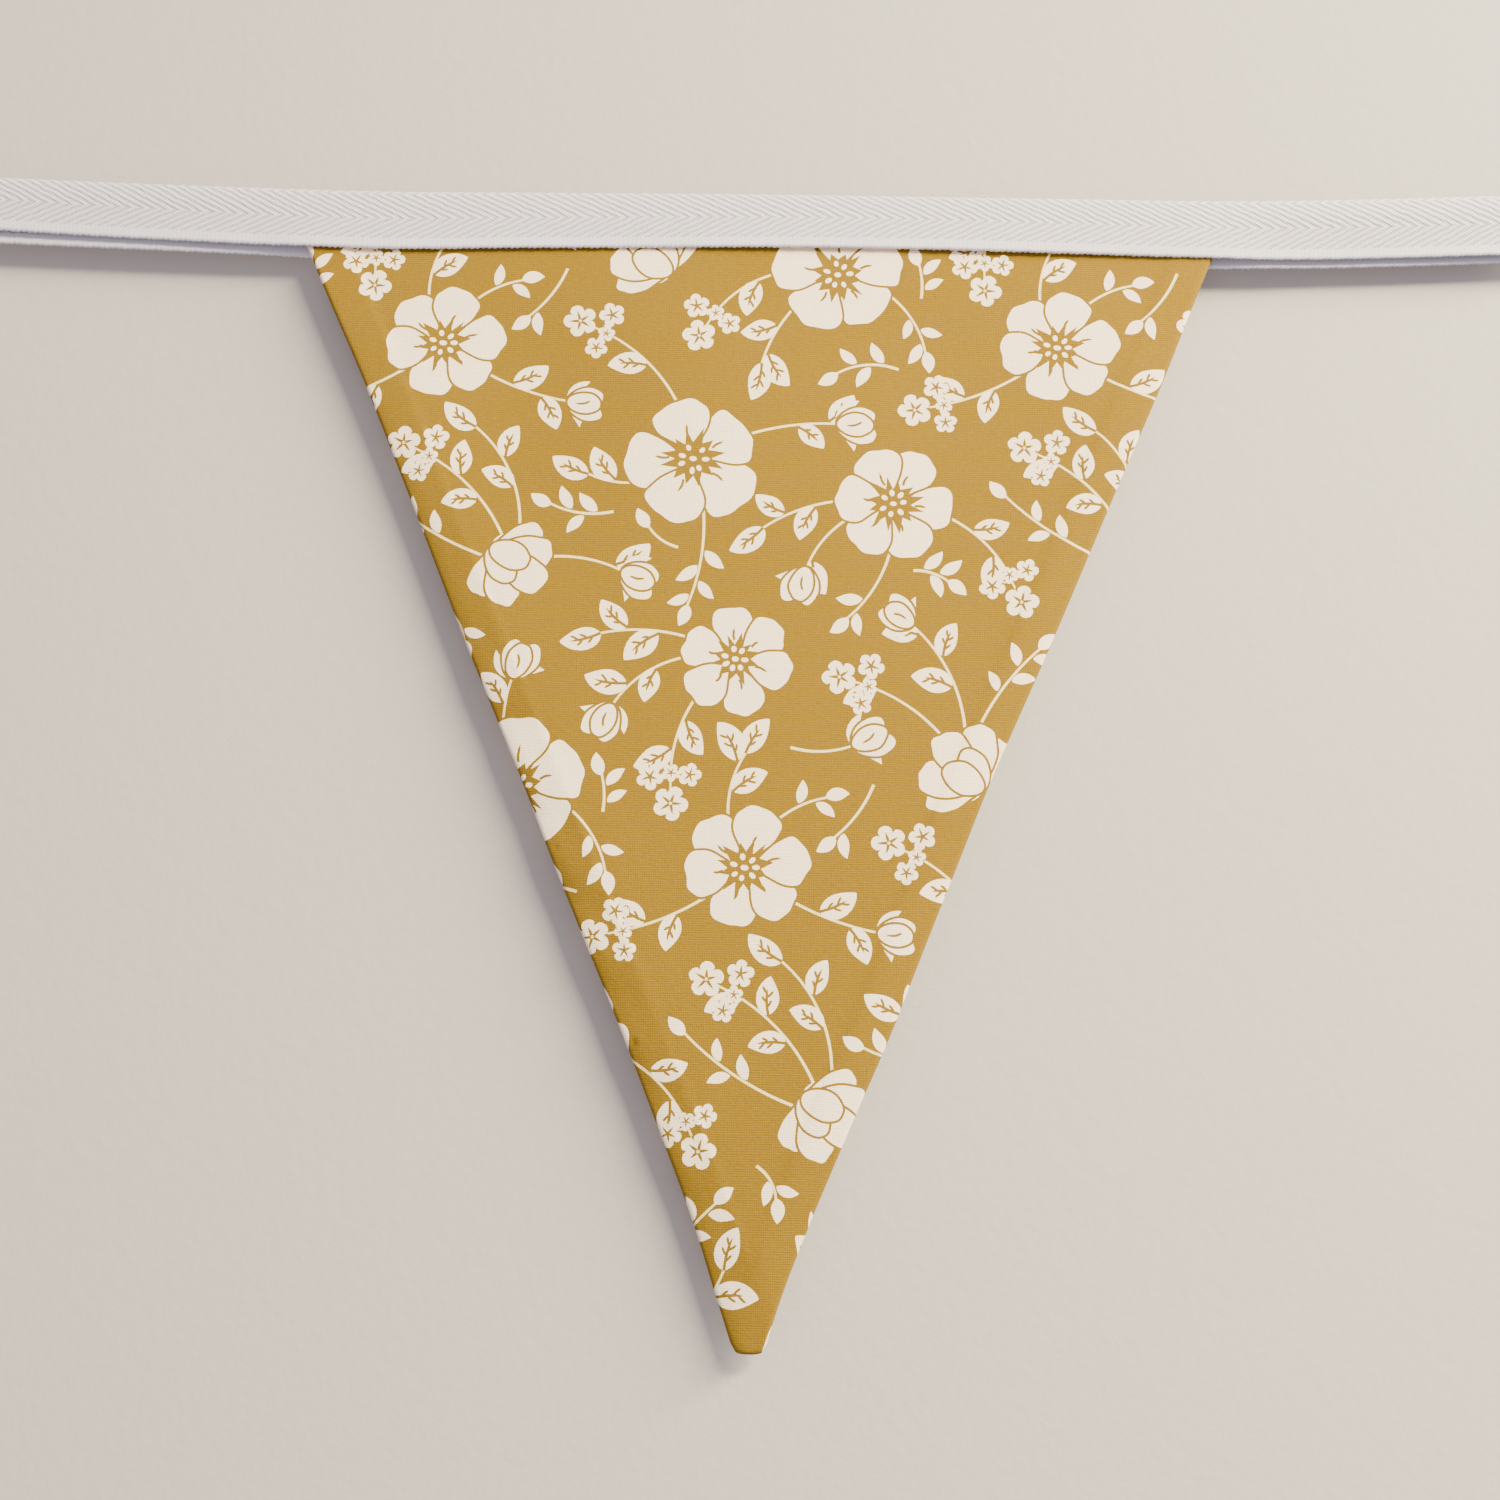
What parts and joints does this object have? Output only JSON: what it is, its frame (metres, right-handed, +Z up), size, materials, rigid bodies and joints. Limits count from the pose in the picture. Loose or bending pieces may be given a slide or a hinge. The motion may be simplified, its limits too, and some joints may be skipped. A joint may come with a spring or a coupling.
{
  "type": "bunting pennant",
  "caption": "Fabric bunting pennant: a turned-through triangle of floral printed cotton hanging from a folded herringbone tape.",
  "frame": {"origin": "the tape's top edge, half way along the tape", "axes": "+X along the tape, to the right as the pennant's front is seen; +Z up; -Y out of the printed front, +Y towards the wall"},
  "size_m": [0.3, 0.006, 0.2107],
  "materials": {
    "printed_cotton_front": "matt plain-weave cotton, white flowers and leaves printed on mustard",
    "printed_cotton_back": "matt plain-weave cotton, the same print as the front",
    "cotton_tape": "matt white herringbone twill"
  },
  "bodies": {
    "root": {"pennant_front": "printed_cotton_front", "pennant_back": "printed_cotton_back", "header_tape": "cotton_tape"}
  },
  "joints": []
}
